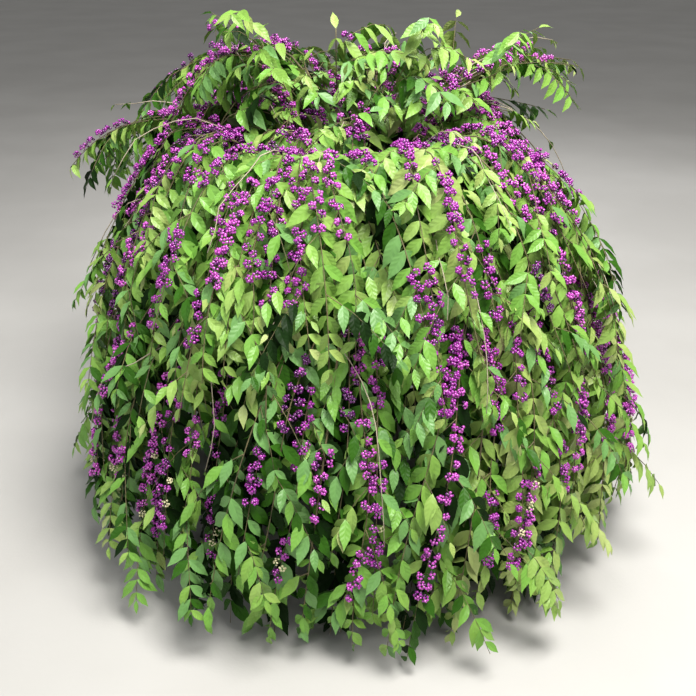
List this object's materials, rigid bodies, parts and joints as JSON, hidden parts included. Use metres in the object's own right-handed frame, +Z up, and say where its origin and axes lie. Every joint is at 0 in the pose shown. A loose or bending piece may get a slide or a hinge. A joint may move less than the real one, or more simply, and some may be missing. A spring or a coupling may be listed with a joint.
{
  "type": "weeping beautyberry shrub",
  "caption": "Weeping beautyberry shrub in fruit: arching canes rise from a low woody stool and hang to the ground with paired leaves and berry clusters.",
  "frame": {"origin": "centre of the flat cut under the stool, at ground level", "axes": "+Z up, -Y towards the side that the picture shows, +X to the right of that view"},
  "size_m": [1.7393, 1.6846, 1.4575],
  "materials": {
    "bark": "rough",
    "foliage": "satin"
  },
  "bodies": {
    "root": {"bough_arm_back": "bark", "bough_arm_left_far": "bark", "bough_arm_left_high": "bark", "bough_arm_left_low": "bark", "bough_arm_right": "bark", "bough_crest_back": "bark", "bough_crest_front": "bark", "bough_crest_left": "bark", "bough_dome_01": "bark", "bough_dome_02": "bark", "bough_dome_03": "bark", "bough_dome_04": "bark", "bough_dome_05": "bark", "bough_dome_06": "bark", "bough_dome_07": "bark", "bough_shoot_leaning": "bark", "bough_shoot_left": "bark", "bough_shoot_middle": "bark", "bough_shoot_right": "bark", "bough_skirt_01": "bark", "bough_skirt_02": "bark", "bough_skirt_03": "bark", "bough_skirt_04": "bark", "bough_skirt_05": "bark", "bough_skirt_06": "bark", "bough_skirt_07": "bark", "bough_skirt_08": "bark", "bough_skirt_09": "bark", "bough_skirt_10": "bark", "spray_arm_back": "foliage", "spray_arm_left_far": "foliage", "spray_arm_left_high": "foliage", "spray_arm_left_low": "foliage", "spray_arm_right": "foliage", "spray_crest_back": "foliage", "spray_crest_front": "foliage", "spray_crest_left": "foliage", "spray_dome_01": "foliage", "spray_dome_02": "foliage", "spray_dome_03": "foliage", "spray_dome_04": "foliage", "spray_dome_05": "foliage", "spray_dome_06": "foliage", "spray_dome_07": "foliage", "spray_shoot_leaning": "foliage", "spray_shoot_left": "foliage", "spray_shoot_middle": "foliage", "spray_shoot_right": "foliage", "spray_skirt_01": "foliage", "spray_skirt_02": "foliage", "spray_skirt_03": "foliage", "spray_skirt_04": "foliage", "spray_skirt_05": "foliage", "spray_skirt_06": "foliage", "spray_skirt_07": "foliage", "spray_skirt_08": "foliage", "spray_skirt_09": "foliage", "spray_skirt_10": "foliage", "stool": "bark"}
  },
  "joints": []
}
